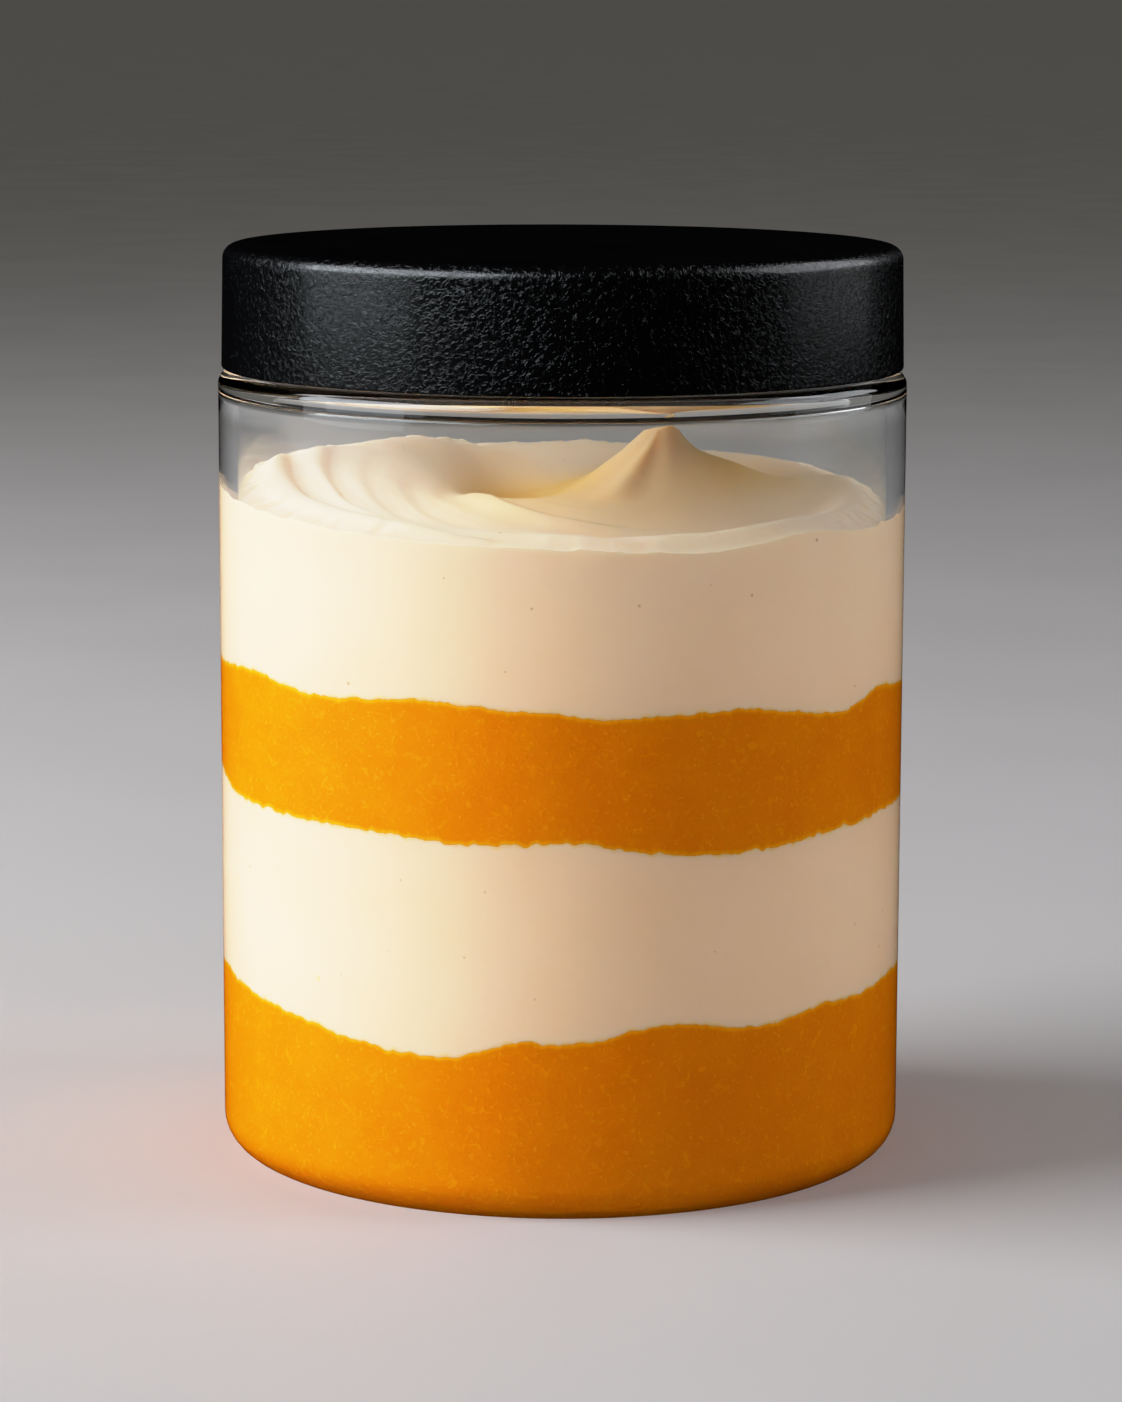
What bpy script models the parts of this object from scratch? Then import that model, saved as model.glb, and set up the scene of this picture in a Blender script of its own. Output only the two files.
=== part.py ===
"""A layered mango and cream dessert in a clear, straight-sided jar with a black screw lid.

Metres, +Z up. The origin is the middle of the jar's base, and the front looks along -Y.
Directions round the jar are degrees from the front, positive towards +X.
"""
import math

import bmesh
import bpy

# Jar
BODY_RADIUS = 0.0370
WALL = 0.0020
BASE_THICKNESS = 0.0017
BASE_CORNER = 0.0037
INNER_CORNER = 0.0022
SHOULDER_TOP = 0.0850
SHOULDER_ROUND = 0.0014
SHOULDER_THICKNESS = 0.0022
INNER_SHOULDER_ROUND = 0.0005
NECK_RADIUS = 0.0333
NECK_WALL = 0.0020
NECK_TOP = 0.0964

# Lid
LID_BOTTOM = 0.0853
LID_TOP = 0.0984
LID_TOP_RADIUS = 0.03645
LID_BOTTOM_RADIUS = 0.03665
LID_ROUND = 0.0015
LID_SKIRT = 0.0020
LID_PLATE = 0.0016

# Contents. A border between two layers is its mean height at the glass, a tilt as (rise, direction),
# and its rises and dips round the glass as (direction, rise, width).
GAP = 0.0003
MANGO_BORDER = {
    "mean": 0.0199,
    "tilt": (0.0006, 180),
    "rises": [(-82, 0.0011, 9), (-24, -0.0023, 15), (-8, 0.0010, 4), (17, 0.0014, 7), (50, 0.0009, 7),
              (76, 0.0011, 10), (105, -0.0008, 9), (140, 0.0010, 12), (175, -0.0010, 12),
              (-145, 0.0009, 13), (-108, -0.0009, 10)],
}
CREAM_BORDER = {
    "mean": 0.0395,
    "tilt": (0.0009, -80),
    "rises": [(-84, 0.0018, 6), (-18, -0.0004, 9), (3, 0.0005, 4), (27, -0.0012, 12), (74, 0.0005, 9),
              (110, -0.0005, 8), (150, 0.0008, 14), (-160, -0.0007, 12), (-120, 0.0005, 10)],
}
UPPER_MANGO_BORDER = {
    "mean": 0.0530,
    "tilt": (0.0012, -75),
    "rises": [(-63, 0.0005, 6), (-45, -0.0006, 7), (-23, 0.0004, 5), (8, -0.0005, 7), (32, 0.0004, 5),
              (52, -0.0010, 9), (67, 0.0010, 5), (120, 0.0006, 10), (160, -0.0007, 12),
              (-150, 0.0005, 9), (-110, -0.0005, 8)],
}
CREAM_EDGE = {
    "mean": 0.0715,
    "tilt": (0.0020, -150),
    "rises": [(24, -0.0006, 9), (43, 0.0008, 7), (68, -0.0004, 10), (118, 0.0007, 20),
              (-172, -0.0006, 12), (-150, 0.0003, 10), (-110, 0.0008, 20)],
}

# Swirl on top of the cream
BASIN_HEIGHT = 0.0693
BASIN_SLOPE = (-0.02, 0.045)
BASIN_START = 0.0170
BASIN_LEAN = 0.0050
BASIN_END = 0.0325
RIM_PLACE = 0.0316
RIM_WIDTH = 0.0020
RIM_HEIGHT = 0.0005
RIM_RISES = [(60, 0.0016, 32), (24, 0.0006, 10), (43, -0.0008, 8)]
PEAK = (0.0090, 0.0040)
PEAK_HEIGHT = 0.0094
PEAK_SPREAD = 0.0105
PEAK_FOOT = (0.015, 0.027)
PEAK_ROUND = 0.0004
TIP_LEAN = 0.0026
TIP_HOOK = 0.0009
TIP_HOOK_FROM = 0.93
TAIL_HEIGHT = 0.0014
TAIL_WIDTHS = (0.0060, 0.0025)
TAIL_START = (0.002, 0.010)
TAIL_END = (0.016, 0.024)
FOLD_HEIGHT = 0.0008
FOLD_DIRECTION = -20
FOLD_WIDTH = 13
FOLD_START = (0.001, 0.005)
FOLD_END = (0.009, 0.014)
CREASE_DEPTH = 0.6
CREASE_TURN = 28.6
# Each scoop is its place (x, y), its depth, its half sizes across and along, and its turn
SCOOPS = [
    ((-0.0026, 0.0120), 0.0038, (0.0038, 0.0088), 20),
    ((0.0200, 0.0135), 0.0015, (0.0090, 0.0045), -10),
]
# Each lip is its distance from the peak and its height; the last one only ends the row
LIPS = [(0.0163, 0.0006), (0.0200, 0.0003), (0.0243, 0.0002), (0.0288, 0.0003), (0.0340, 0.0003),
        (0.0388, 0.0006), (0.0440, 0)]
LIP_STEEP = 0.35
LIP_FAN_START = (-124, -88)
LIP_FAN_END = (-40, 20)
LIP_OPENING = 0.00018
LIP_OPENING_FROM = -75
LIP_GROWTH = 0.00005
LIP_EASE = 25
LIP_FADE = (0.032, 0.0346)

# How finely the round pieces are turned
TURN_STEPS = 64
LAYER_STEPS = 64
TOP_RINGS = 30
TOP_CROWDING = 1.15
LAYER_RINGS = 3
MERGE_DISTANCE = 0.000001
SHARP_ANGLE = math.radians(40)

INNER_RADIUS = BODY_RADIUS - WALL
FILL_RADIUS = INNER_RADIUS - GAP
COLLECTION = "mango_cream_jar"


def clear_scene():
    for obj in list(bpy.data.objects):
        bpy.data.objects.remove(obj, do_unlink=True)


def make_material(name, colour, roughness, transmission=0.0):
    material = bpy.data.materials.new(name)
    material.use_nodes = True
    shader = material.node_tree.nodes["Principled BSDF"]
    shader.inputs["Base Color"].default_value = (*colour, 1)
    shader.inputs["Roughness"].default_value = roughness
    shader.inputs["Transmission Weight"].default_value = transmission
    return material


def add_object(name, mesh, material):
    obj = bpy.data.objects.new(name, mesh)
    mesh.materials.append(material)
    bpy.data.collections[COLLECTION].objects.link(obj)
    return obj


def arc(centre, radius, start, end, count):
    """Points (r, z) on an arc in the profile plane; angles are degrees from +r towards +z."""
    points = []
    for i in range(count + 1):
        angle = math.radians(start + (end - start) * i / count)
        points.append((centre[0] + radius * math.cos(angle), centre[1] + radius * math.sin(angle)))
    return points


def add_profile(bm, points):
    verts = [bm.verts.new((r, 0, z)) for r, z in points]
    edges = [bm.edges.new(pair) for pair in zip(verts, verts[1:])]
    return verts + edges


def turned(name, points, material):
    """A turned piece, from a profile that runs down its outer side."""
    mesh = bpy.data.meshes.new(name)
    bm = bmesh.new()
    add_profile(bm, points)
    bm.to_mesh(mesh)
    bm.free()
    obj = add_object(name, mesh, material)
    screw = obj.modifiers.new("turn", "SCREW")
    screw.axis = "Z"
    screw.steps = TURN_STEPS
    screw.render_steps = TURN_STEPS
    screw.use_merge_vertices = True
    screw.merge_threshold = MERGE_DISTANCE
    screw.use_smooth_shade = True
    return obj


def spun_solid(name, points, shape, material):
    """A turned blank whose every point is then moved by shape(x, y, z)."""
    mesh = bpy.data.meshes.new(name)
    bm = bmesh.new()
    bmesh.ops.spin(bm, geom=add_profile(bm, points), cent=(0, 0, 0), axis=(0, 0, 1),
                   angle=math.tau, steps=LAYER_STEPS, use_merge=True)
    bmesh.ops.remove_doubles(bm, verts=bm.verts, dist=MERGE_DISTANCE)
    bmesh.ops.recalc_face_normals(bm, faces=bm.faces)
    for vert in bm.verts:
        vert.co = shape(*vert.co)
    bm.to_mesh(mesh)
    bm.free()
    mesh.shade_smooth()
    mesh.set_sharp_from_angle(angle=SHARP_ANGLE)
    return add_object(name, mesh, material)


def smooth_step(low, high, value):
    t = min(max((value - low) / (high - low), 0), 1)
    return t * t * (3 - 2 * t)


def bell(value, width):
    return math.exp(-0.5 * (value / width) ** 2)


def direction_of(x, y):
    return math.degrees(math.atan2(x, -y))


def turn_between(direction, other):
    return (direction - other + 180) % 360 - 180


def rises_at(rises, direction):
    return sum(height * bell(turn_between(direction, centre), width) for centre, height, width in rises)


def height_at_glass(border, direction):
    lift, towards = border["tilt"]
    tilt = lift * math.cos(math.radians(direction - towards))
    return border["mean"] + tilt + rises_at(border["rises"], direction)


def border_height(border, x, y):
    """Height of the border between two layers, which evens out towards the jar's middle."""
    reach = min(math.hypot(x, y) / INNER_RADIUS, 1) ** 2
    return border["mean"] + (height_at_glass(border, direction_of(x, y)) - border["mean"]) * reach


def basin(x, y):
    """The smoothed-out bowl of the cream's top, with the raised rim just inside the glass."""
    radius = math.hypot(x, y)
    direction = direction_of(x, y)
    floor = BASIN_HEIGHT + BASIN_SLOPE[0] * x + BASIN_SLOPE[1] * y
    start = BASIN_START + BASIN_LEAN * math.sin(math.radians(direction))
    side = smooth_step(start, BASIN_END, radius)
    rim = (RIM_HEIGHT + rises_at(RIM_RISES, direction)) * bell(radius - RIM_PLACE, RIM_WIDTH)
    return floor * (1 - side) + height_at_glass(CREAM_EDGE, direction) * side + rim


def peak(x, y):
    """The peak that the lifted spoon drew up, with a tail towards the right."""
    across = x - PEAK[0]
    along = y - PEAK[1]
    distance = math.hypot(across, along)
    blunt = math.hypot(distance, PEAK_ROUND) - PEAK_ROUND
    mound = PEAK_HEIGHT * math.exp(-blunt / PEAK_SPREAD) * (1 - smooth_step(*PEAK_FOOT, distance))
    tail = TAIL_HEIGHT * bell(along, TAIL_WIDTHS[along > 0])
    tail *= smooth_step(*TAIL_START, across) * (1 - smooth_step(*TAIL_END, across))
    turn = turn_between(direction_of(across, along), FOLD_DIRECTION)
    fold = bell(turn, FOLD_WIDTH) - CREASE_DEPTH * bell(turn - CREASE_TURN, FOLD_WIDTH)
    fold *= FOLD_HEIGHT * smooth_step(*FOLD_START, distance) * (1 - smooth_step(*FOLD_END, distance))
    return mound + tail + fold


def scoops(x, y):
    """The hollows that the spoon left beside and behind the peak."""
    total = 0
    for (place_x, place_y), depth, (half_across, half_along), degrees in SCOOPS:
        turn = math.radians(degrees)
        across = (x - place_x) * math.cos(turn) + (y - place_y) * math.sin(turn)
        along = (y - place_y) * math.cos(turn) - (x - place_x) * math.sin(turn)
        total -= depth * bell(across, half_across) * bell(along, half_along)
    return total


def lips(x, y):
    """The curved lips of the swirl: each rises steeply on its inner side and falls gently outwards."""
    distance = math.hypot(x - PEAK[0], y - PEAK[1])
    direction = direction_of(x - PEAK[0], y - PEAK[1])
    turn = direction - LIP_OPENING_FROM
    spread = LIP_OPENING if turn < 0 else LIP_GROWTH
    distance -= spread * turn ** 2 / (abs(turn) + LIP_EASE)
    fan = smooth_step(*LIP_FAN_START, direction) * (1 - smooth_step(*LIP_FAN_END, direction))
    fade = 1 - smooth_step(*LIP_FADE, math.hypot(x, y))
    for (inner, height), (outer, _) in zip(LIPS, LIPS[1:]):
        if inner <= distance < outer:
            place = (distance - inner) / (outer - inner)
            rise = smooth_step(0, LIP_STEEP, place)
            fall = 1 - smooth_step(LIP_STEEP, 1, place)
            return height * min(rise, fall) * fan * fade
    return 0


def cream_top_point(x, y):
    """A point of the cream's top. The rings of the blank close in on the peak, whose tip leans."""
    ring = min(math.hypot(x, y) / FILL_RADIUS, 1)
    x += PEAK[0] * (1 - ring)
    y += PEAK[1] * (1 - ring)
    drawn = peak(x, y)
    share = drawn / PEAK_HEIGHT
    lean = TIP_LEAN * share ** 2 + TIP_HOOK * smooth_step(TIP_HOOK_FROM, 1, share)
    return x + lean, y, basin(x, y) + drawn + scoops(x, y) + lips(x, y)


def disc_rings(count, power=1.0):
    """Ring radii from the middle out to the fill's edge; a power over 1 crowds them inwards."""
    return [FILL_RADIUS * (i / count) ** power for i in range(count + 1)]


def layer_profile(top_rings, power=1.0):
    """A blank for a layer: its top from the middle out, at height 1, and its underside, at height 0."""
    top = [(radius, 1) for radius in disc_rings(top_rings, power)]
    underside = [(radius, 0) for radius in reversed(disc_rings(LAYER_RINGS))]
    return top + underside


def make_jar(material):
    inner = INNER_RADIUS
    neck_inner = NECK_RADIUS - NECK_WALL
    rim_round = NECK_WALL / 2
    underside = SHOULDER_TOP - SHOULDER_THICKNESS
    points = [(0, BASE_THICKNESS)]
    points += arc((inner - INNER_CORNER, BASE_THICKNESS + INNER_CORNER), INNER_CORNER, -90, 0, 5)
    points += arc((inner - INNER_SHOULDER_ROUND, underside - INNER_SHOULDER_ROUND), INNER_SHOULDER_ROUND,
                  0, 90, 4)
    points += [(neck_inner, underside)]
    points += arc((neck_inner + rim_round, NECK_TOP - rim_round), rim_round, 180, 0, 6)
    points += [(NECK_RADIUS, SHOULDER_TOP)]
    points += arc((BODY_RADIUS - SHOULDER_ROUND, SHOULDER_TOP - SHOULDER_ROUND), SHOULDER_ROUND, 90, 0, 4)
    points += arc((BODY_RADIUS - BASE_CORNER, BASE_CORNER), BASE_CORNER, 0, -90, 6)
    points += [(0, 0)]
    turned("jar", points, material)


def make_lid(material):
    skirt = LID_BOTTOM_RADIUS - LID_SKIRT
    points = [(0, LID_TOP)]
    points += arc((LID_TOP_RADIUS - LID_ROUND, LID_TOP - LID_ROUND), LID_ROUND, 90, 0, 5)
    points += [(LID_BOTTOM_RADIUS, LID_BOTTOM), (skirt, LID_BOTTOM), (skirt, LID_TOP - LID_PLATE)]
    points += [(0, LID_TOP - LID_PLATE)]
    turned("lid", points, material)


def make_mango_bottom(material):
    floor = BASE_THICKNESS + GAP
    corner = INNER_CORNER
    sides = arc((FILL_RADIUS - corner, floor + corner), corner, 0, -90, 4)
    top = [(radius, MANGO_BORDER["mean"]) for radius in disc_rings(LAYER_RINGS)]

    def shape(x, y, z):
        if z > floor + corner + GAP:
            z = border_height(MANGO_BORDER, x, y)
        return x, y, z

    spun_solid("mango_bottom", top + sides + [(0, floor)], shape, material)


def make_layer(name, lower, upper, material):
    """A layer between two borders, one gap above the lower one."""

    def shape(x, y, z):
        if z == 1:
            return x, y, border_height(upper, x, y)
        return x, y, border_height(lower, x, y) + GAP

    spun_solid(name, layer_profile(LAYER_RINGS), shape, material)


def make_cream_top(material):
    def shape(x, y, z):
        if z == 1:
            return cream_top_point(x, y)
        return x, y, border_height(UPPER_MANGO_BORDER, x, y) + GAP

    spun_solid("cream_top", layer_profile(TOP_RINGS, TOP_CROWDING), shape, material)


def build():
    clear_scene()
    collection = bpy.data.collections.new(COLLECTION)
    bpy.context.scene.collection.children.link(collection)
    glass = make_material("clear_glass", (0.95, 0.97, 0.97), 0.02, transmission=1.0)
    plastic = make_material("black_plastic", (0.012, 0.013, 0.015), 0.55)
    mango = make_material("mango", (0.90, 0.36, 0.01), 0.40)
    cream = make_material("cream", (0.88, 0.78, 0.62), 0.50)
    make_jar(glass)
    make_lid(plastic)
    make_mango_bottom(mango)
    make_layer("cream_lower", MANGO_BORDER, CREAM_BORDER, cream)
    make_layer("mango_upper", CREAM_BORDER, UPPER_MANGO_BORDER, mango)
    make_cream_top(cream)


build()
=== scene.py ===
"""The looks of a layered mango and cream dessert in a clear jar under a black lid.

Metres, +Z up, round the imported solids. The front looks along -Y. Directions round the jar are degrees from
the front, positive towards +X.
"""
import math
import bmesh
import bpy
from mathutils import Matrix, Vector, noise


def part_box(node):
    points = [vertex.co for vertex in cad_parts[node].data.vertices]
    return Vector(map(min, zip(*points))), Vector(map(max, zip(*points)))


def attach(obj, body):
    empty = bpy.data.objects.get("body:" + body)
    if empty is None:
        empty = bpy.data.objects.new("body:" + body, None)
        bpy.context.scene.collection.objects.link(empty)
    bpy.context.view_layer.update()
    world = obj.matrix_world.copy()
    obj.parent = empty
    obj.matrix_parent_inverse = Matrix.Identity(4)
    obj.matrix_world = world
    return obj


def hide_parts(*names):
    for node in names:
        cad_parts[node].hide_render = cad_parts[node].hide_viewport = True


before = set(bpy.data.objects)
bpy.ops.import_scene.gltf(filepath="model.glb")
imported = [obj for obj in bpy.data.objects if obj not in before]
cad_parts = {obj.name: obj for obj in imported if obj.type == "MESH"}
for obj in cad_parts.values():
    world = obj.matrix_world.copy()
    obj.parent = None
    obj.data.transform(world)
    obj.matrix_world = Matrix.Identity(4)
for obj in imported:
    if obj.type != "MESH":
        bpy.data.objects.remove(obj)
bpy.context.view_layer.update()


# The jar is clear glass from a mould, with an even wall and soft corners. It stands on a flat base, and its
# shoulder turns in under the lid to a neck that the lid's skirt hides. The wall is smooth and very clean,
# with only the faint waviness that a mould leaves.
jar_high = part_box("jar")[1]
body_radius = jar_high.x
wall = 0.0020
base_thickness = 0.0017
base_corner = 0.0037
inner_corner = 0.0022
neck_radius = 0.0333
neck_wall = 0.0020
neck_round = 0.00095
shoulder_top = 0.0850
shoulder_round = 0.0014
shoulder_thickness = 0.0022
inner_shoulder_round = 0.0005
inner_radius = body_radius - wall
flat_margin = 0.0004
draw_in = 0.0036
corner_segments = 8
fine_steps = 256
turn_doublings = 5
merge_distance = 0.000001
glass_colour = (0.965, 0.985, 0.98)
glass_shadow = (0.95, 0.965, 0.96)
glass_ior = 1.5
wave_size = 0.014
wave_depth = 0.000006


def rounded_wire(bm, corners):
    """A wire through corners (radius, height, rounding), with each corner rounded."""
    verts = [bm.verts.new((radius, 0, height)) for radius, height, _ in corners]
    for pair in zip(verts, verts[1:]):
        bm.edges.new(pair)
    for vert, (_, _, rounding) in zip(verts, corners):
        if rounding:
            bmesh.ops.bevel(bm, geom=[vert], offset=rounding, offset_type="OFFSET", segments=corner_segments,
                            profile=0.5, affect="VERTICES", material=-1)


def cut_runs(bm, chosen, cuts):
    """Cuts the wire's chosen straight runs into short ones."""
    runs = [edge for edge in bm.edges if chosen(edge)]
    bmesh.ops.subdivide_edges(bm, edges=runs, cuts=cuts)


def spin_wire(bm, steps):
    """Spins a wedge of the turn, then doubles it until it goes all the way round."""
    wedge = math.tau / 2 ** turn_doublings
    bmesh.ops.spin(bm, geom=bm.verts[:] + bm.edges[:], cent=(0, 0, 0), axis=(0, 0, 1), angle=wedge,
                   steps=steps // 2 ** turn_doublings)
    for doubling in range(turn_doublings):
        copied = bmesh.ops.duplicate(bm, geom=bm.verts[:] + bm.edges[:] + bm.faces[:])["geom"]
        moved = [part for part in copied if isinstance(part, bmesh.types.BMVert)]
        turn = Matrix.Rotation(wedge * 2 ** doubling, 3, "Z")
        bmesh.ops.rotate(bm, verts=moved, cent=(0, 0, 0), matrix=turn)
    bmesh.ops.remove_doubles(bm, verts=bm.verts, dist=merge_distance)
    bmesh.ops.recalc_face_normals(bm, faces=bm.faces)


def finished(name, bm, *materials, sharp=50):
    """The piece's object, at the origin, from its mesh."""
    mesh = bpy.data.meshes.new(name)
    bm.to_mesh(mesh)
    bm.free()
    mesh.shade_smooth()
    mesh.set_sharp_from_angle(angle=math.radians(sharp))
    for material in materials:
        mesh.materials.append(material)
    piece = bpy.data.objects.new(name, mesh)
    bpy.context.scene.collection.objects.link(piece)
    return piece


class Value:
    """An output of a shader node. Python's operators on it add Math nodes."""

    def __init__(self, finish, socket):
        self.finish = finish
        self.socket = socket

    def maths(self, operation, first, second):
        return self.finish.node("ShaderNodeMath", {"operation": operation}, {0: first, 1: second})["Value"]

    def __add__(self, other):
        return self.maths("ADD", self, other)

    def __sub__(self, other):
        return self.maths("SUBTRACT", self, other)

    def __rsub__(self, other):
        return self.maths("SUBTRACT", other, self)

    def __mul__(self, other):
        return self.maths("MULTIPLY", self, other)

    def __lt__(self, other):
        return self.maths("LESS_THAN", self, other)

    def __abs__(self):
        return self.maths("ABSOLUTE", self, 0)

    __radd__ = __add__
    __rmul__ = __mul__


class Finish:
    """One material, with its shader nodes added one call at a time."""

    def __init__(self, name):
        self.material = bpy.data.materials.new(name)
        self.material.use_nodes = True
        self.tree = self.material.node_tree
        self.tree.nodes.clear()
        self.place = self.node("ShaderNodeTexCoord")["Object"]

    def node(self, kind, settings=None, sockets=None):
        """A node by its type, its settings, and the values or links of its sockets."""
        node = self.tree.nodes.new(kind)
        for key, value in (settings or {}).items():
            setattr(node, key, value)
        for key, value in (sockets or {}).items():
            inputs = node.inputs if isinstance(key, int) else {s.name: s for s in node.inputs if s.enabled}
            if isinstance(value, Value):
                self.tree.links.new(value.socket, inputs[key])
            elif inputs[key].type == "RGBA":
                inputs[key].default_value = (*value, 1)
            else:
                inputs[key].default_value = value
        return {socket.name: Value(self, socket) for socket in node.outputs if socket.enabled}

    def noise(self, size, detail=2.0, roughness=0.5, distortion=0.0):
        """Cloudy noise from 0 to 1, its lumps about as wide as size."""
        return self.node("ShaderNodeTexNoise", None, {
            "Vector": self.place, "Scale": 1 / size, "Detail": detail, "Roughness": roughness,
            "Distortion": distortion})["Fac"]

    def between(self, value, low, high, first=0.0, last=1.0):
        """A value's smooth way from first to last as it goes from low to high."""
        return self.node("ShaderNodeMapRange", {"interpolation_type": "SMOOTHSTEP"}, {
            "Value": value, "From Min": low, "From Max": high, "To Min": first, "To Max": last})["Result"]

    def mix(self, share, first, second):
        """Two colours mixed by a share from 0 to 1."""
        return self.node("ShaderNodeMix", {"data_type": "RGBA"}, {
            "Factor": share, "A": first, "B": second})["Result"]

    def bump(self, height, depth):
        """A normal from a height between 0 and 1 that stands for a depth in metres."""
        return self.node("ShaderNodeBump", None, {
            "Strength": 1.0, "Distance": depth, "Height": height})["Normal"]

    def surface(self, shader):
        self.node("ShaderNodeOutputMaterial", None, {"Surface": shader})
        return self.material


def make_glass():
    glass = Finish("clear_glass")
    waves = glass.noise(wave_size, detail=1)
    body = glass.node("ShaderNodeBsdfPrincipled", None, {
        "Base Color": glass_colour, "Roughness": 0.0, "IOR": glass_ior, "Transmission Weight": 1.0,
        "Normal": glass.bump(waves, wave_depth)})["BSDF"]
    clear = glass.node("ShaderNodeBsdfTransparent", None, {"Color": glass_shadow})["BSDF"]
    shadow = glass.node("ShaderNodeLightPath")["Is Shadow Ray"]
    mixed = glass.node("ShaderNodeMixShader", None, {0: shadow, 1: body, 2: clear})["Shader"]
    return glass.surface(mixed)


bm = bmesh.new()
rounded_wire(bm, [
    (0, 0, 0),
    (body_radius - base_corner - flat_margin, 0, 0),
    (body_radius, 0, base_corner),
    (body_radius, base_corner + flat_margin, 0),
    (body_radius, shoulder_top - shoulder_round - draw_in, 0),
    (body_radius, shoulder_top, shoulder_round),
    (neck_radius, shoulder_top, 0),
    (neck_radius, jar_high.z, neck_round),
    (neck_radius - neck_wall, jar_high.z, neck_round),
    (neck_radius - neck_wall, shoulder_top - shoulder_thickness, 0),
    (inner_radius, shoulder_top - shoulder_thickness, inner_shoulder_round),
    (inner_radius, shoulder_top - shoulder_thickness - inner_shoulder_round - flat_margin, 0),
    (inner_radius, base_thickness + inner_corner + flat_margin, 0),
    (inner_radius, base_thickness, inner_corner),
    (inner_radius - inner_corner - flat_margin, base_thickness, 0),
    (0, base_thickness, 0),
])
spin_wire(bm, fine_steps)
jar = finished("glass_jar", bm, make_glass())
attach(jar, "root")
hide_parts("jar")


# The lowest layer is mango puree, set soft and spooned in, so its top is uneven where it meets the glass. It
# is wet, full of fine pale pulp, and lets light in a little. It fills the jar's base and reaches just into
# the wall, as puree that wets the glass leaves no air behind it.
into_wall = 0.00012
fill_radius = inner_radius + into_wall
layer_steps = 1440
mango_border = {
    "mean": 0.0199,
    "tilt": (0.0006, 180),
    "rises": [(-82, 0.0011, 9), (-24, -0.0023, 15), (-8, 0.0010, 4), (17, 0.0014, 7), (50, 0.0009, 7),
              (76, 0.0011, 10), (105, -0.0008, 9), (140, 0.0010, 12), (175, -0.0010, 12),
              (-145, 0.0009, 13), (-108, -0.0009, 10)],
    "crags": [(0.0030, 0.00032), (0.0012, 0.00026), (0.0005, 0.00012)],
    "seed": 3.0,
}
mango_colour = (0.74, 0.205, 0.0012)
mango_deep = (0.71, 0.185, 0.0010)
mango_pale = (0.88, 0.33, 0.0045)
mango_pulp = (0.90, 0.37, 0.014)
mango_scatter = (0.0012, 0.0007, 0.0003)
mango_cloud_size = 0.006
pulp_grain_size = 0.00045
pulp_fibre_size = 0.0011
pulp_depth = 0.000015
# The edge's colour fades out between two distances from the border, and its waver is a size and a depth
mango_edge = (0.00005, 0.0006)
mango_edge_waver = (0.0012, 0.0005)
mango_edge_strength = 0.9
layer_rings = 7
layer_levels = 5


def bell(value, width):
    return math.exp(-0.5 * (value / width) ** 2)


def smooth_step(low, high, value):
    t = min(max((value - low) / (high - low), 0), 1)
    return t * t * (3 - 2 * t)


def direction_of(x, y):
    return math.degrees(math.atan2(x, -y))


def turn_between(direction, other):
    return (direction - other + 180) % 360 - 180


def rises_at(rises, direction):
    return sum(height * bell(turn_between(direction, centre), width) for centre, height, width in rises)


def crags_at(border, direction):
    """The fine unevenness of a border at the glass, as bumps of a few sizes."""
    angle = math.radians(direction)
    total = 0
    for width, height in border["crags"]:
        across = inner_radius / width
        total += height * noise.noise(Vector((across * math.sin(angle), across * math.cos(angle),
                                              border["seed"])))
    return total


def height_at_glass(border, direction):
    """Height of a border at the glass, read from a list made once for each border."""
    if "heights" not in border:
        lift, towards = border["tilt"]
        border["heights"] = []
        for step in range(layer_steps + 1):
            turn = 360 * step / layer_steps
            tilt = lift * math.cos(math.radians(turn - towards))
            border["heights"].append(tilt + rises_at(border["rises"], turn) + crags_at(border, turn))
    step, share = divmod((direction % 360) / 360 * layer_steps, 1)
    before, after = border["heights"][int(step):int(step) + 2]
    return border["mean"] + before + (after - before) * share


def border_height(border, x, y):
    """Height of the border between two layers, which evens out towards the jar's middle."""
    reach = min(math.hypot(x, y) / inner_radius, 1) ** 2
    return border["mean"] + (height_at_glass(border, direction_of(x, y)) - border["mean"]) * reach


def note_borders(bm, lower, upper):
    """Notes at each point how far it is above the layer's lower border and below its upper one."""
    above = bm.verts.layers.float.new("above_border")
    below = bm.verts.layers.float.new("below_border")
    for vert in bm.verts:
        x, y, z = vert.co
        vert[above] = z - border_height(lower, x, y) if lower else 1.0
        vert[below] = border_height(upper, x, y) - z if upper else 1.0


def attribute(finish, name):
    return finish.node("ShaderNodeAttribute", {"attribute_name": name})["Fac"]


def distance_from_border(finish, waver_size, waver_depth):
    """How far a point is from the nearer border of its layer, with a slight waver."""
    nearer = finish.node("ShaderNodeMath", {"operation": "MINIMUM"}, {
        0: attribute(finish, "above_border"), 1: attribute(finish, "below_border")})["Value"]
    return nearer + (finish.noise(waver_size) - 0.5) * waver_depth


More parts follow.
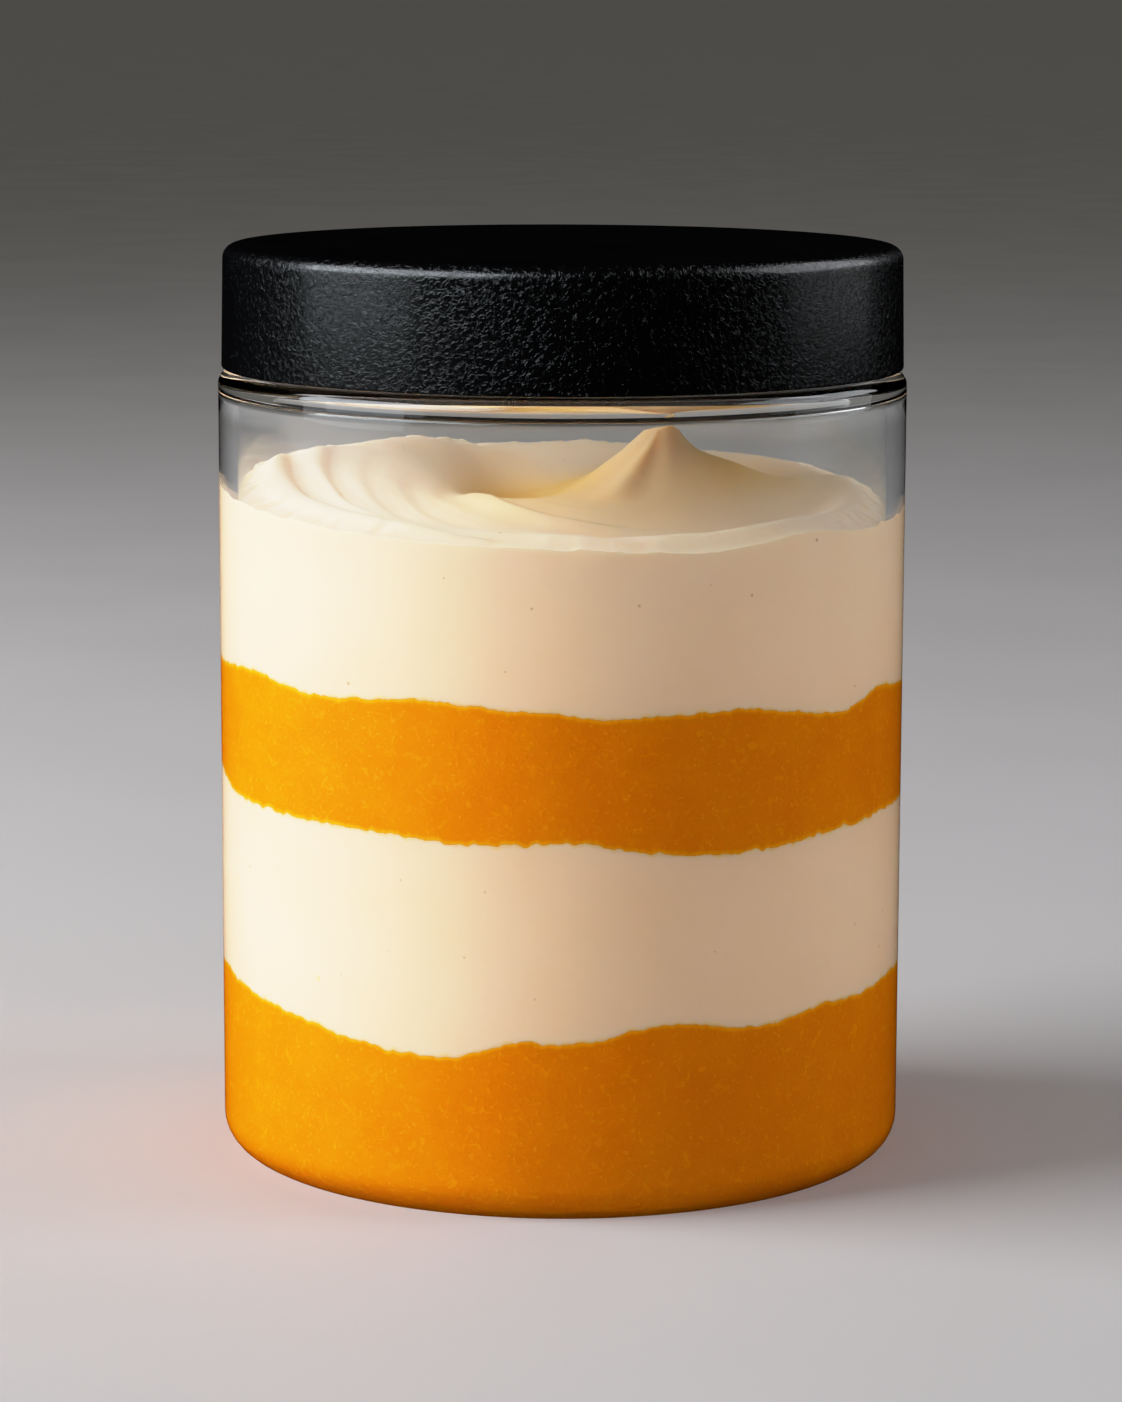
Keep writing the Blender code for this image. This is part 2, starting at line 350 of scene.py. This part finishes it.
def make_mango():
    """Mango puree: mottled, with pale pulp grains, and yellower in the thin edge along a border."""
    mango = Finish("mango")
    clouds = mango.noise(mango_cloud_size, detail=3, roughness=0.6)
    grains = mango.noise(pulp_grain_size, detail=2, roughness=0.6)
    fibres = mango.noise(pulp_fibre_size, detail=2, roughness=0.55, distortion=1.2)
    colour = mango.mix(mango.between(clouds, 0.35, 0.68), mango_deep, mango_colour)
    colour = mango.mix(mango.between(fibres, 0.56, 0.72, 0.0, 0.35), colour, mango_pale)
    colour = mango.mix(mango.between(grains, 0.60, 0.72, 0.0, 0.4), colour, mango_pulp)
    edge = distance_from_border(mango, *mango_edge_waver)
    colour = mango.mix(mango.between(edge, *mango_edge, mango_edge_strength, 0.0), colour, mango_pale)
    height = mango.between(grains, 0.35, 0.70) + mango.between(fibres, 0.40, 0.60) * 0.8
    shader = mango.node("ShaderNodeBsdfPrincipled", None, {
        "Base Color": colour, "Roughness": 0.38, "IOR": 1.40, "Specular IOR Level": 0.03,
        "Subsurface Weight": 0.35, "Subsurface Radius": mango_scatter, "Subsurface Scale": 1.0,
        "Normal": mango.bump(height, pulp_depth)})["BSDF"]
    return mango.surface(shader)


bm = bmesh.new()
mango_floor = base_thickness - into_wall
mango_corner = mango_floor + inner_corner
rounded_wire(bm, [
    (0, mango_border["mean"], 0),
    (fill_radius, mango_border["mean"], 0),
    (fill_radius, mango_floor, inner_corner),
    (0, mango_floor, 0),
])
cut_runs(bm, lambda edge: min(vert.co.z for vert in edge.verts) > mango_corner + merge_distance, layer_rings)
cut_runs(bm, lambda edge: all(vert.co.x > fill_radius - merge_distance for vert in edge.verts), layer_levels)
spin_wire(bm, layer_steps)
for vert in bm.verts:
    x, y, z = vert.co
    share = max(z - mango_corner, 0) / (mango_border["mean"] - mango_corner)
    vert.co.z += share * (border_height(mango_border, x, y) - mango_border["mean"])
note_borders(bm, None, mango_border)
mango = make_mango()
mango_base = finished("mango_base_layer", bm, mango)
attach(mango_base, "root")
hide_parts("mango_bottom")


# The lower cream layer is thick and smooth, pressed against the glass by what lies on it. A few brown and
# yellow specks show in it, and a little mango has run into its edges.
cream_border = {
    "mean": 0.0395,
    "tilt": (0.0009, -80),
    "rises": [(-84, 0.0018, 6), (-18, -0.0004, 9), (3, 0.0005, 4), (27, -0.0012, 12), (74, 0.0005, 9),
              (110, -0.0005, 8), (150, 0.0008, 14), (-160, -0.0007, 12), (-120, 0.0005, 10)],
    "crags": [(0.0024, 0.00024), (0.0010, 0.00034), (0.0004, 0.00012)],
    "seed": 11.0,
}
cream_colour = (0.90, 0.64, 0.415)
cream_warm = (0.89, 0.62, 0.39)
# The darker golden below is partly the cream's own warmth and partly painted shade in the top's middle,
# scoops, tail and lip grooves
cream_golden_shade = (0.72, 0.38, 0.105)
cream_speck = (0.30, 0.17, 0.07)
cream_fleck = (0.93, 0.54, 0.11)
cream_scatter = (0.0019, 0.0015, 0.0011)
cream_weight = 0.5
cream_cloud_size = 0.010
# Each kind of speck is its radius, its spacing, the share of places that hold one, its colour, its strength
# and how far its places are shifted from those of the others
cream_specks = [
    (0.00012, 0.0036, 0.30, cream_speck, 0.60, 0.0),
    (0.00008, 0.0021, 0.30, cream_speck, 0.50, 0.3),
    (0.00022, 0.0070, 0.20, cream_fleck, 0.45, 0.6),
]
speck_blur = 2.2
mango_run = (0.00003, 0.00042)
mango_run_waver = (0.0016, 0.0009)
mango_run_strength = 0.55
cream_grain_size = 0.0012
cream_grain_depth = 0.00003


def make_cream(name, weight, scatter):
    """Thick cream: near even ivory, with sparse specks, golden where it touches mango, and a darker golden
    where noted that is partly its own warmth and partly painted shade.
    """
    cream = Finish(name)
    clouds = cream.noise(cream_cloud_size, detail=3, roughness=0.55)
    colour = cream.mix(cream.between(clouds, 0.35, 0.70), cream_colour, cream_warm)
    # Painted shade: the noted share mixes in the darker golden, which is partly the cream's own warmth
    colour = cream.mix(attribute(cream, "golden_shade"), colour, cream_golden_shade)
    for radius, spacing, share, tint, strength, shift in cream_specks:
        moved = cream.node("ShaderNodeVectorMath", {"operation": "ADD"}, {
            0: cream.place, 1: (shift, shift, shift)})["Vector"]
        cells = cream.node("ShaderNodeTexVoronoi", None, {"Vector": moved, "Scale": 1 / spacing})
        picked = cream.node("ShaderNodeSeparateColor", None, {"Color": cells["Color"]})["Red"] < share
        size = radius / spacing
        spot = cream.between(cells["Distance"], size, speck_blur * size, 1.0, 0.0)
        colour = cream.mix(spot * picked * strength, colour, tint)
    edge = distance_from_border(cream, *mango_run_waver)
    colour = cream.mix(cream.between(edge, *mango_run, mango_run_strength, 0.0), colour, cream_fleck)
    grain = cream.noise(cream_grain_size, detail=3)
    shader = cream.node("ShaderNodeBsdfPrincipled", None, {
        "Base Color": colour, "Roughness": 0.55, "IOR": 1.38, "Specular IOR Level": 0.1,
        "Subsurface Weight": weight, "Subsurface Radius": scatter, "Subsurface Scale": 1.0,
        "Normal": cream.bump(grain, cream_grain_depth)})["BSDF"]
    return cream.surface(shader)


def layer_blank(steps, upper_rings, levels, lower_rings):
    """A flat layer from height 0 to 1, cut into rings and levels that its borders then move."""
    bm = bmesh.new()
    rounded_wire(bm, [(0, 1, 0), (fill_radius, 1, 0), (fill_radius, 0, 0), (0, 0, 0)])
    cut_runs(bm, lambda edge: all(vert.co.z == 1 for vert in edge.verts), upper_rings)
    cut_runs(bm, lambda edge: edge.verts[0].co.z != edge.verts[1].co.z, levels)
    cut_runs(bm, lambda edge: all(vert.co.z == 0 for vert in edge.verts), lower_rings)
    spin_wire(bm, steps)
    return bm


def layer_between(name, lower, upper, material):
    """A layer from its lower border to its upper one."""
    bm = layer_blank(layer_steps, layer_rings, layer_levels, layer_rings)
    for vert in bm.verts:
        x, y, share = vert.co
        low = border_height(lower, x, y)
        vert.co.z = low + share * (border_height(upper, x, y) - low)
    note_borders(bm, lower, upper)
    return finished(name, bm, material)


cream = make_cream("cream", cream_weight, cream_scatter)
lower_cream = layer_between("lower_cream_layer", mango_border, cream_border, cream)
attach(lower_cream, "root")
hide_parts("cream_lower")


# The upper mango layer is the same puree, spread over the cream. Its lower edge is scalloped where it ran
# along the cream, and its upper edge carries small bumps of pulp.
upper_mango_border = {
    "mean": 0.0530,
    "tilt": (0.0012, -75),
    "rises": [(-63, 0.0005, 6), (-45, -0.0006, 7), (-23, 0.0004, 5), (8, -0.0005, 7), (32, 0.0004, 5),
              (52, -0.0010, 9), (67, 0.0010, 5), (120, 0.0006, 10), (160, -0.0007, 12),
              (-150, 0.0005, 9), (-110, -0.0005, 8)],
    "crags": [(0.0030, 0.00020), (0.0012, 0.00020), (0.0005, 0.00014)],
    "seed": 23.0,
}
upper_mango = layer_between("upper_mango_layer", cream_border, upper_mango_border, mango)
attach(upper_mango, "root")
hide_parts("mango_upper")


# The top cream was swirled with a spoon that left curved lips and hollows and drew up a peak as it lifted. A
# thin rim stands against the glass all round, ragged along its crest. Its free surface has a soft sheen.
# Its middle, scoops, tail and the grooves under its lips are painted a darker golden, partly its own warmth
# and partly painted shade.
cream_edge = {
    "mean": 0.0715,
    "tilt": (0.0020, -150),
    "rises": [(24, -0.0006, 9), (43, 0.0008, 7), (68, -0.0004, 10), (118, 0.0007, 20),
              (-172, -0.0006, 12), (-150, 0.0003, 10), (-110, 0.0008, 20)],
    "crags": [(0.0030, 0.00020), (0.0012, 0.00010)],
    "seed": 31.0,
}
basin_height = 0.0693
basin_slope = (-0.02, 0.045)
basin_start = 0.0170
basin_lean = 0.0050
basin_end = 0.0325
crag_reach = (0.0310, 0.0332)
rim_place = 0.0316
rim_width = 0.0020
rim_height = 0.0005
rim_rises = [(60, 0.0016, 32), (24, 0.0006, 10), (43, -0.0008, 8)]
peak_place = (0.0090, 0.0040)
peak_height = 0.0099
peak_spread = 0.0105
peak_foot = (0.015, 0.027)
peak_round = 0.0001
tip_lean = 0.0026
tip_hook = 0.0012
tip_hook_from = 0.92
tail_height = 0.0014
tail_widths = (0.0060, 0.0025)
tail_start = (0.002, 0.010)
tail_end = (0.016, 0.024)
fold_height = 0.0006
fold_direction = -20
fold_width = 8
fold_start = (0.001, 0.005)
fold_end = (0.009, 0.014)
crease_depth = 0.35
crease_turn = 18
# Each scoop is its place (x, y), its depth, its half sizes across and along, and its turn
scoop_marks = [
    ((-0.0041, 0.0120), 0.0040, (0.0041, 0.0092), 20),
    ((0.0200, 0.0135), 0.0015, (0.0090, 0.0045), -10),
]
# Each lip is its distance from the peak and its height; the last one only ends the row
lip_marks = [(0.0163, 0.0006), (0.0200, 0.0001), (0.0243, 0.0002), (0.0288, 0.0003), (0.0332, 0.0009),
             (0.0377, 0.0009), (0.0435, 0)]
lip_steep = 0.30
lip_groove = 0.12
lip_fan_start = (-124, -88)
lip_fan_end = (-40, 20)
lip_opening = 0.00018
lip_opening_from = -75
lip_growth = 0.00005
lip_ease = 25
lip_fade = (0.032, 0.0346)
# Each kind of drag line is its width, its length, its share and its seed
drag_lines = [(0.0011, 0.011, 1.0, 5), (0.0005, 0.007, 0.5, 9)]
drag_depth = 0.00009
drag_fade = (0.0240, 0.0290)
lump_size = 0.0050
lump_height = 0.00012
lump_seed = 2
# Each kind of rim crag is its size, its share and its seed
rim_crags = [(0.0013, 1.0, 7), (0.0006, 0.6, 4)]
rim_crag_height = 0.00022
rim_calm_in_front = 0.3
rim_calm_until = (35, 75)
top_steps = 720
top_rings = 118
top_levels = 7
top_floor_rings = 4
top_crowding = 1.12
# Where the golden colour goes on the top: partly the cream's own warmth, partly painted shade in the swirl's
# middle, the scoops, along the tail and in the grooves under the lips
golden_shade_middle = (0.006, 0.004)
golden_shade_reach = (0.011, 0.027)
golden_shade_in_middle = 0.5
golden_shade_in_scoops = 1.3
golden_shade_along_tail = 0.5
golden_shade_under_lips = 0.5
free_weight = 1.0
free_scatter = (0.0026, 0.0022, 0.0016)


def basin(x, y):
    """The smoothed-out bowl of the cream's top, with the raised rim just inside the glass."""
    radius = math.hypot(x, y)
    direction = direction_of(x, y)
    floor = basin_height + basin_slope[0] * x + basin_slope[1] * y
    start = basin_start + basin_lean * math.sin(math.radians(direction))
    side = smooth_step(start, basin_end, radius)
    rim = (rim_height + rises_at(rim_rises, direction)) * bell(radius - rim_place, rim_width)
    smoothed = crags_at(cream_edge, direction) * (1 - smooth_step(*crag_reach, radius))
    return floor * (1 - side) + (height_at_glass(cream_edge, direction) - smoothed) * side + rim


def swell(start, end, value):
    """Goes up from 0 to 1 over the start and down again over the end."""
    return smooth_step(*start, value) * (1 - smooth_step(*end, value))


def tail(across, along):
    """The low tail that runs to the right from the peak's foot, from 0 to 1."""
    return swell(tail_start, tail_end, across) * bell(along, tail_widths[along > 0])


def peak(x, y):
    """The peak that the lifted spoon drew up, with a tail and a fold down its front."""
    across = x - peak_place[0]
    along = y - peak_place[1]
    distance = math.hypot(across, along)
    blunt = math.hypot(distance, peak_round) - peak_round
    mound = peak_height * math.exp(-blunt / peak_spread) * (1 - smooth_step(*peak_foot, distance))
    turn = turn_between(direction_of(across, along), fold_direction)
    fold = bell(turn, fold_width) - crease_depth * bell(turn - crease_turn, fold_width)
    fold *= fold_height * swell(fold_start, fold_end, distance)
    return mound + tail_height * tail(across, along) + fold


def scoops(x, y):
    """The hollows that the spoon left beside and behind the peak."""
    total = 0
    for (place_x, place_y), depth, (half_across, half_along), degrees in scoop_marks:
        turn = math.radians(degrees)
        across = (x - place_x) * math.cos(turn) + (y - place_y) * math.sin(turn)
        along = (y - place_y) * math.cos(turn) - (x - place_x) * math.sin(turn)
        total -= depth * bell(across, half_across) * bell(along, half_along)
    return total


def swirl_place(x, y):
    """Distance and direction from the peak, with the distance measured along the opening swirl."""
    across = x - peak_place[0]
    along = y - peak_place[1]
    direction = direction_of(across, along)
    turn = direction - lip_opening_from
    spread = lip_opening if turn < 0 else lip_growth
    return math.hypot(across, along) - spread * turn ** 2 / (abs(turn) + lip_ease), direction


def lips(x, y):
    """The curved lips of the swirl: each rises steeply on its inner side and falls gently outwards.

    The second number is how far a point lies in the groove at a lip's foot, from 0 to 1, which sets the
    painted golden shade there.
    """
    distance, direction = swirl_place(x, y)
    shown = swell(lip_fan_start, lip_fan_end, direction) * (1 - smooth_step(*lip_fade, math.hypot(x, y)))
    for (inner, height), (outer, _) in zip(lip_marks, lip_marks[1:]):
        if inner <= distance < outer:
            place = (distance - inner) / (outer - inner)
            rise = smooth_step(0, lip_steep, place)
            fall = 1 - smooth_step(lip_steep, 1, place)
            groove = bell(place, lip_groove) * height / lip_marks[-2][1]
            return height * min(rise, fall) * shown, groove * shown
    return 0, 0


def spoon_grain(x, y):
    """What the solid leaves out: fine drag lines along the swirl, soft lumps, and crags along the rim."""
    radius = math.hypot(x, y)
    distance, direction = swirl_place(x, y)
    along = math.radians(direction) * distance
    drag = sum(share * noise.noise(Vector((distance / width, along / length, seed)))
               for width, length, share, seed in drag_lines)
    dragged = swell(lip_fan_start, lip_fan_end, direction) * (1 - smooth_step(*drag_fade, radius))
    lumps = noise.noise(Vector((x / lump_size, y / lump_size, lump_seed)))
    crags = sum(share * noise.noise(Vector((x / size, y / size, seed))) for size, share, seed in rim_crags)
    to_side = smooth_step(*rim_calm_until, abs(direction_of(x, y)))
    ragged = smooth_step(*crag_reach, radius) * (rim_calm_in_front + (1 - rim_calm_in_front) * to_side)
    return drag_depth * drag * dragged + lump_height * lumps + rim_crag_height * crags * ragged


def golden_shade_share(x, y):
    """How much darker golden the cream gets, partly its own warmth and partly painted shade: in the swirl's
    middle, in the scoops, along the tail and under the lips.
    """
    middle = 1 - smooth_step(*golden_shade_reach, math.hypot(x - golden_shade_middle[0], y - golden_shade_middle[1]))
    scooped = -scoops(x, y) / scoop_marks[0][1]
    golden_shade = golden_shade_in_middle * middle + golden_shade_in_scoops * scooped
    golden_shade += golden_shade_along_tail * tail(x - peak_place[0], y - peak_place[1])
    return min(golden_shade + golden_shade_under_lips * lips(x, y)[1], 1)


def cream_top_point(x, y):
    """A point of the cream's top. The rings of the blank close in on the peak, whose tip leans."""
    ring = min(math.hypot(x, y) / fill_radius, 1)
    shrink = ring ** (top_crowding - 1) if ring else 1
    x = x * shrink + peak_place[0] * (1 - ring ** top_crowding)
    y = y * shrink + peak_place[1] * (1 - ring ** top_crowding)
    drawn = peak(x, y)
    share = drawn / peak_height
    hooked = max(share - tip_hook_from, 0) / (1 - tip_hook_from)
    lean = tip_lean * share ** 2 + tip_hook * hooked ** 2
    height = basin(x, y) + drawn + scoops(x, y) + lips(x, y)[0] + spoon_grain(x, y) * (1 - share)
    return Vector((x + lean, y, height))


bm = layer_blank(top_steps, top_rings, top_levels, top_floor_rings)
# The golden attribute carries the top's darker golden, partly the cream's own warmth and partly painted
# shade
golden_shade_layer = bm.verts.layers.float.new("golden_shade")
for face in bm.faces:
    face.material_index = int(all(vert.co.z == 1 for vert in face.verts))
for vert in bm.verts:
    x, y, share = vert.co
    low = border_height(upper_mango_border, x, y)
    if share == 1:
        vert.co = cream_top_point(x, y)
        vert[golden_shade_layer] = golden_shade_share(vert.co.x, vert.co.y)
    else:
        vert.co.z = low + share * (height_at_glass(cream_edge, direction_of(x, y)) - low)
note_borders(bm, upper_mango_border, None)
free_cream = make_cream("free_cream", free_weight, free_scatter)
top_cream = finished("swirled_cream_top", bm, cream, free_cream, sharp=60)
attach(top_cream, "root")
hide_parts("cream_top")


# The lid is a black plastic screw cap with a straight skirt and a rounded upper edge. Its mould gives it a
# very fine worm-like grain, so it has a satin look that catches light only along the rounding and the sides.
lid_low, lid_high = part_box("lid")
lid_bottom_radius = lid_high.x
lid_top_radius = 0.03645
lid_round = 0.0015
lid_lip_round = 0.00025
lid_skirt = 0.0020
lid_plate = 0.0016
lid_colour = (0.0012, 0.0013, 0.0015)
lid_grain_size = 0.00060
lid_grain_depth = 0.000016
lid_wear_size = 0.009
lid_roughness = (0.17, 0.20)


def make_lid_plastic():
    plastic = Finish("black_plastic")
    worms = abs(plastic.noise(lid_grain_size, detail=2, distortion=0.9) - 0.5)
    grain = plastic.between(worms, 0.0, 0.09)
    wear = plastic.noise(lid_wear_size, detail=3)
    shader = plastic.node("ShaderNodeBsdfPrincipled", None, {
        "Base Color": lid_colour, "Roughness": plastic.between(wear, 0.3, 0.7, *lid_roughness), "IOR": 1.5,
        "Normal": plastic.bump(grain, lid_grain_depth)})["BSDF"]
    return plastic.surface(shader)


bm = bmesh.new()
skirt_radius = lid_bottom_radius - lid_skirt
rounded_wire(bm, [
    (0, lid_high.z, 0),
    (lid_top_radius - lid_round - flat_margin, lid_high.z, 0),
    (lid_top_radius, lid_high.z, lid_round),
    (lid_top_radius, lid_high.z - lid_round - flat_margin, 0),
    (lid_bottom_radius, lid_low.z, lid_lip_round),
    (skirt_radius, lid_low.z, lid_lip_round),
    (skirt_radius, lid_high.z - lid_plate, 0),
    (0, lid_high.z - lid_plate, 0),
])
spin_wire(bm, fine_steps)
lid = finished("black_lid", bm, make_lid_plastic())
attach(lid, "root")
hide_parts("lid")


# The stage is a plain pale floor under soft light. A large lamp stands on the left, a weak one on the right,
# and a very small one hangs under the lid for the cream's top. Two high windows and two dim upright panels
# only make the soft reflections in the glass and the lid.
floor_size = 60.0
floor_squares = 8
floor_colour = (0.58, 0.575, 0.57)
floor_roughness = (0.6, 0.7)
floor_cloud_size = 0.05
world_colour = (0.150, 0.143, 0.130)
film_white = 4
film_points = [(0.10, 0.10), (0.30, 0.295), (0.60, 0.55), (1.0, 0.79), (1.5, 0.905), (2.2, 0.965)]
aim = Vector((0, 0, 0.045))
camera_lens = 114.83
camera_sensor = 36
camera_place = (-0.0003, -0.4810, 0.1282)
camera_dip = 9.39
camera_roll = -0.179


def make_floor_paint():
    paint = Finish("pale_floor")
    clouds = paint.noise(floor_cloud_size)
    shader = paint.node("ShaderNodeBsdfPrincipled", None, {
        "Base Color": floor_colour, "Roughness": paint.between(clouds, 0.3, 0.7, *floor_roughness),
        "Specular IOR Level": 0.2})["BSDF"]
    return paint.surface(shader)


bm = bmesh.new()
bmesh.ops.create_grid(bm, x_segments=floor_squares, y_segments=floor_squares, size=floor_size / 2)
floor = finished("floor", bm, make_floor_paint())
# The floor isn't mirrored and throws no light on the jar
floor.visible_glossy = False
floor.visible_diffuse = False

world = bpy.data.worlds.new("studio")
world.use_nodes = True
world.node_tree.nodes["Background"].inputs["Color"].default_value = (*world_colour, 1)
bpy.context.scene.world = world
world.cycles_visibility.glossy = False

# The picture's brightest parts roll off as they do on film
view = bpy.context.scene.view_settings
view.view_transform = "Standard"
view.use_curve_mapping = True
view.curve_mapping.white_level = (film_white, film_white, film_white)
film = view.curve_mapping.curves[3].points
film[0].location = (0, 0)
film[1].location = (1, 1)
for shone, shown in film_points:
    film.new(shone / film_white, shown)
view.curve_mapping.update()


def lamp(name, direction, elevation, distance, size, power, colour, mirrored=False):
    """A soft rectangular lamp that looks at the jar from a direction and an elevation in degrees.

    A mirrored one only makes reflections, and the others only light.
    """
    light = bpy.data.lights.new(name, "AREA")
    light.shape = "RECTANGLE"
    light.size, light.size_y = size
    light.energy = power
    light.color = colour
    turn, rise = math.radians(direction), math.radians(elevation)
    away = Vector((math.sin(turn) * math.cos(rise), -math.cos(turn) * math.cos(rise), math.sin(rise)))
    holder = bpy.data.objects.new(name, light)
    holder.location = aim + away * distance
    holder.rotation_euler = away.to_track_quat("Z", "Y").to_euler()
    holder.visible_camera = False
    holder.visible_diffuse = not mirrored
    holder.visible_glossy = mirrored
    holder.visible_transmission = mirrored
    bpy.context.scene.collection.objects.link(holder)


lamp("key", -82, 20, 0.75, (0.60, 0.60), 12.8, (1.0, 0.965, 1.0))
lamp("fill", 86, 20, 0.80, (0.30, 0.40), 2.6, (0.94, 1.0, 1.12))
lamp("under_lid", -80, 72, 0.0515, (0.020, 0.020), 0.0080, (1.0, 0.955, 0.95))
lamp("left_window", -63, 36, 0.75, (1.0, 0.42), 9.8, (0.86, 0.93, 1.0), mirrored=True)
lamp("right_window", 106, 36, 0.75, (0.75, 0.42), 2.6, (0.92, 0.95, 1.0), mirrored=True)
lamp("left_panel", -70, 20, 0.32, (0.24, 0.20), 0.25, (0.86, 0.93, 1.0), mirrored=True)
lamp("right_panel", 98, 20, 0.32, (0.24, 0.20), 0.085, (0.94, 0.97, 1.0), mirrored=True)

camera = bpy.data.cameras.new("camera")
camera.sensor_width = camera_sensor
camera.lens = camera_lens
camera_holder = bpy.data.objects.new("camera", camera)
camera_holder.location = camera_place
camera_holder.rotation_euler = (math.radians(90 - camera_dip), math.radians(camera_roll), 0)
bpy.context.scene.collection.objects.link(camera_holder)
bpy.context.scene.camera = camera_holder
